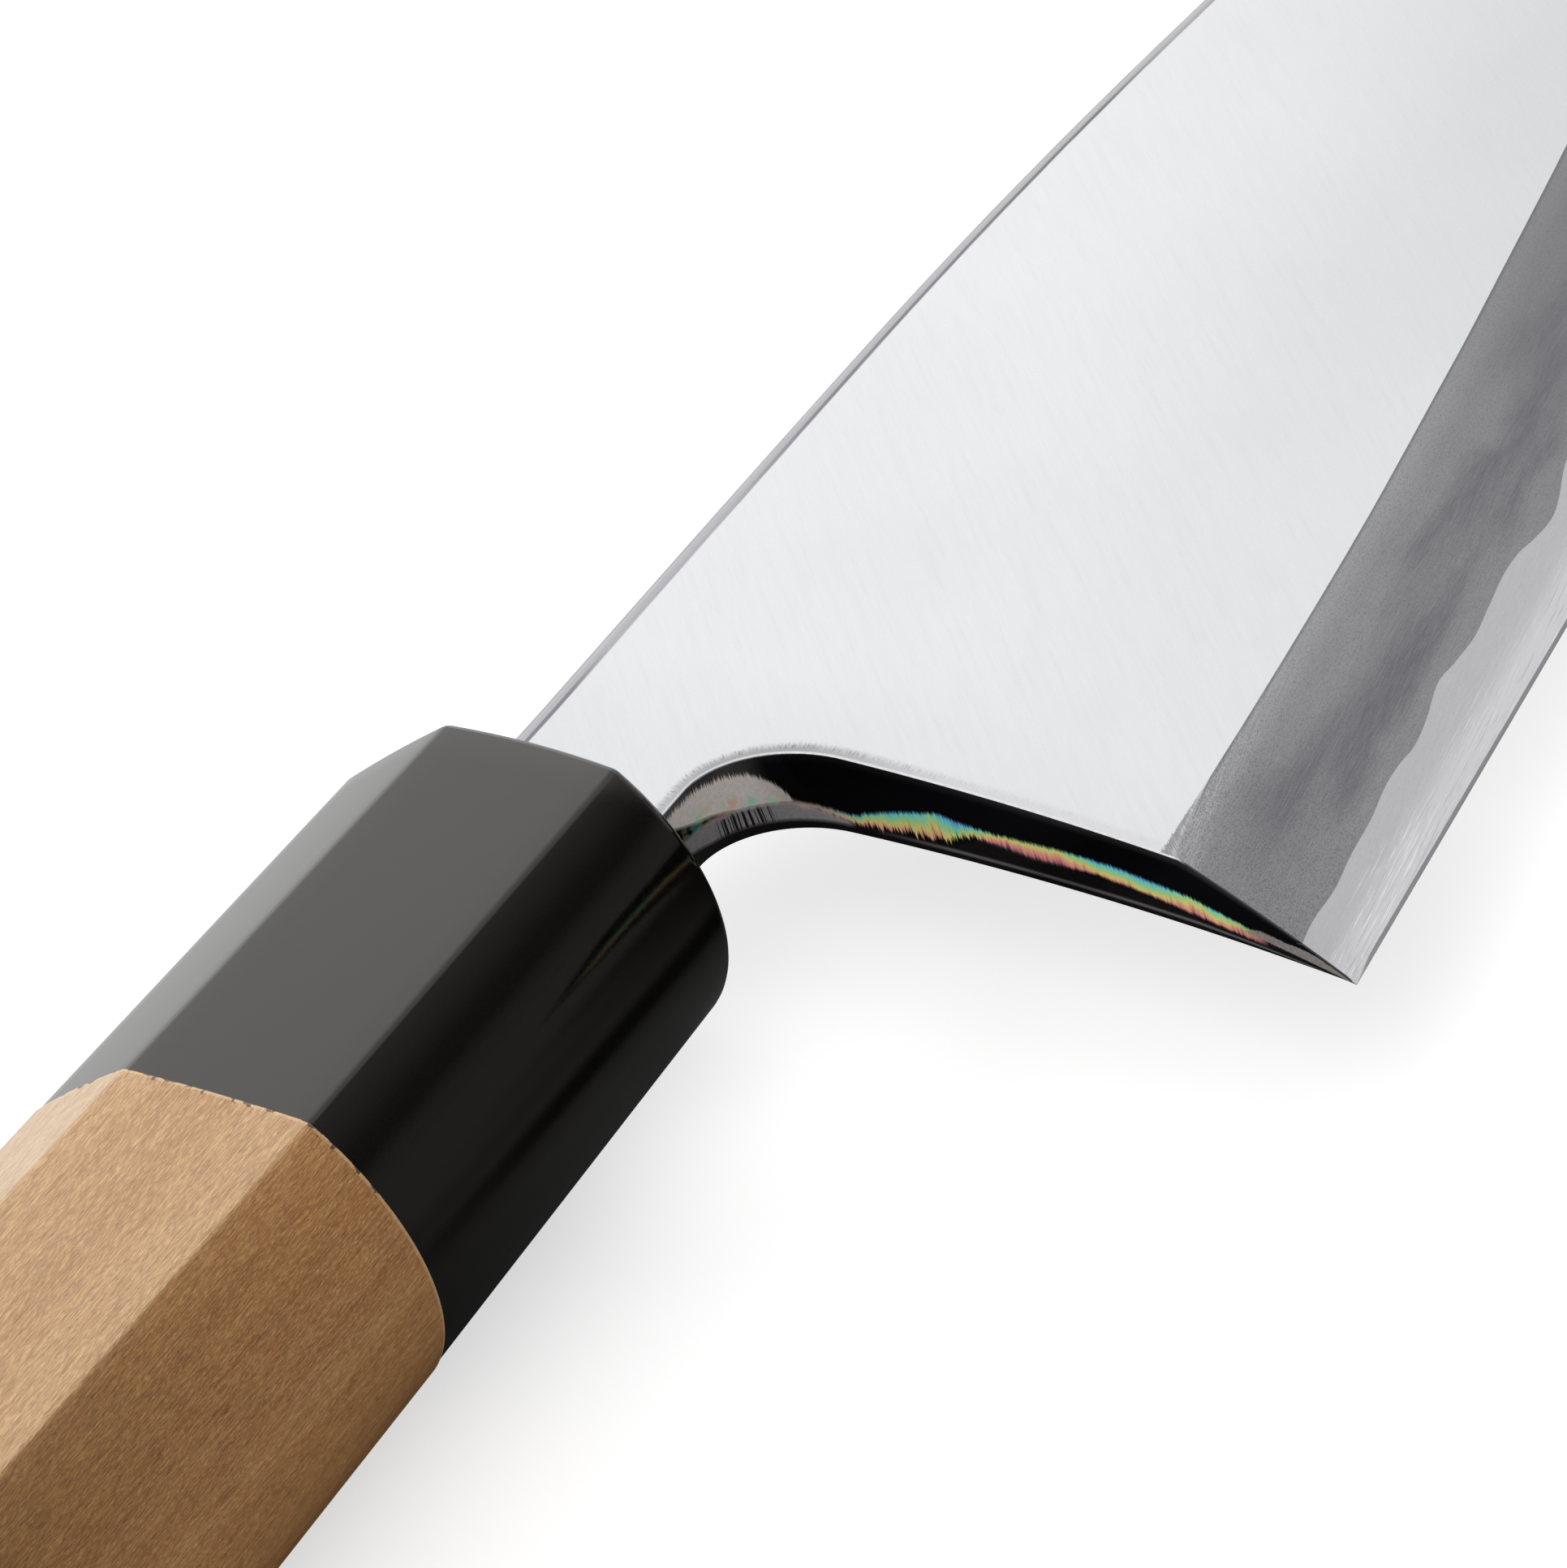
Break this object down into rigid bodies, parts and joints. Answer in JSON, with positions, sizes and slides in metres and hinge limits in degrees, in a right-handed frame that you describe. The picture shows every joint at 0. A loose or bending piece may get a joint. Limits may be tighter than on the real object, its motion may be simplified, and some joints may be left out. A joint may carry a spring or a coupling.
{
  "type": "deba knife",
  "caption": "Single-bevel deba fish knife with a laminated steel blade, a hollow-ground back, a black horn ferrule and a half-octagonal wooden handle.",
  "frame": {"origin": "centre of the knife's bounding box in plan, at the level of its lowest face, the knife lying on its hollow side", "axes": "+X from the butt towards the point, +Y from the cutting edge towards the spine, +Z out of the bevelled (right-hand) face"},
  "size_m": [0.3242, 0.0666, 0.0238],
  "materials": {
    "soft_iron": "pale satin flat, darker stone-finished bevel, mirror-polished heel face",
    "hard_steel": "fine bright satin",
    "horn": "polished black horn",
    "dowel_wood": "bare turned wood",
    "handle_wood": "fine-grained light brown wood, smoothly sanded"
  },
  "bodies": {
    "root": {"blade_cladding": "soft_iron", "edge_steel": "hard_steel", "ferrule": "horn", "dowel": "dowel_wood", "handle_body": "handle_wood"}
  },
  "joints": []
}
